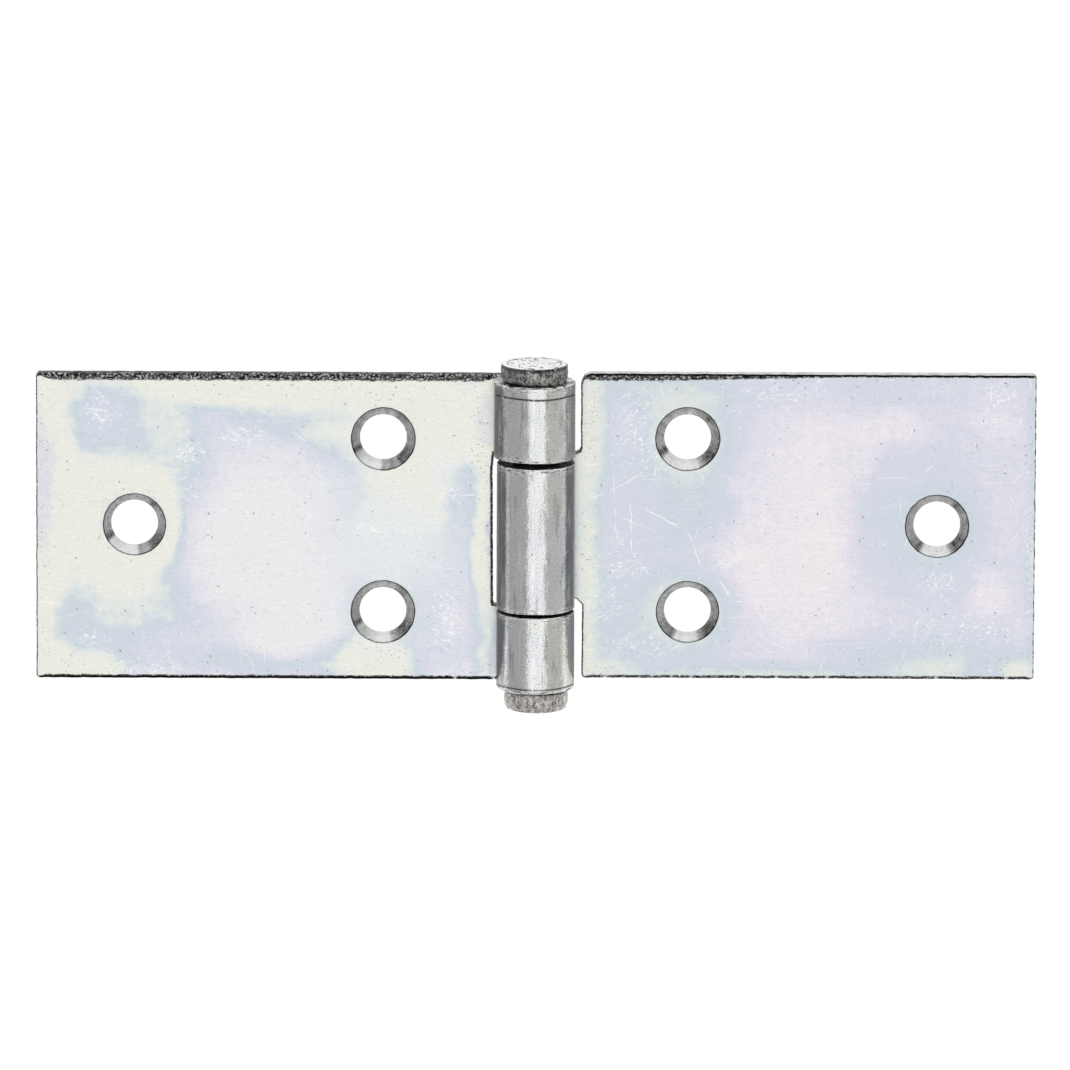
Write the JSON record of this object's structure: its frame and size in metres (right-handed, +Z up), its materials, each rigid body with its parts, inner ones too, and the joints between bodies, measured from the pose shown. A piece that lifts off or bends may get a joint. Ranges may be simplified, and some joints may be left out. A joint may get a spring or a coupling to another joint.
{
  "type": "broad butt hinge",
  "caption": "Broad butt hinge of zinc-plated sheet: two long flat leaves with countersunk screw holes, rolled into knuckles round a riveted steel pin.",
  "frame": {"origin": "on the leaves' back plane, under the middle of the pin", "axes": "+X across the leaves towards the leaf with one knuckle, +Y along the pin, +Z up out of the countersunk faces"},
  "size_m": [0.129, 0.0456, 0.0101],
  "materials": {
    "zinc_plate": "satin zinc plate, pale blue and cream passivation",
    "pin_steel": "rough, hammered heads"
  },
  "bodies": {
    "fixed_leaf": {"two_knuckle_leaf": "zinc_plate", "hinge_pin": "pin_steel"},
    "swinging_leaf": {"one_knuckle_leaf": "zinc_plate"}
  },
  "joints": [
    {"name": "leaf_swing", "type": "hinge", "parent": "fixed_leaf", "child": "swinging_leaf", "pos_m": [0, 0, 0.00505], "axis": [0, -1, 0], "range_deg": [-90, 180]}
  ]
}
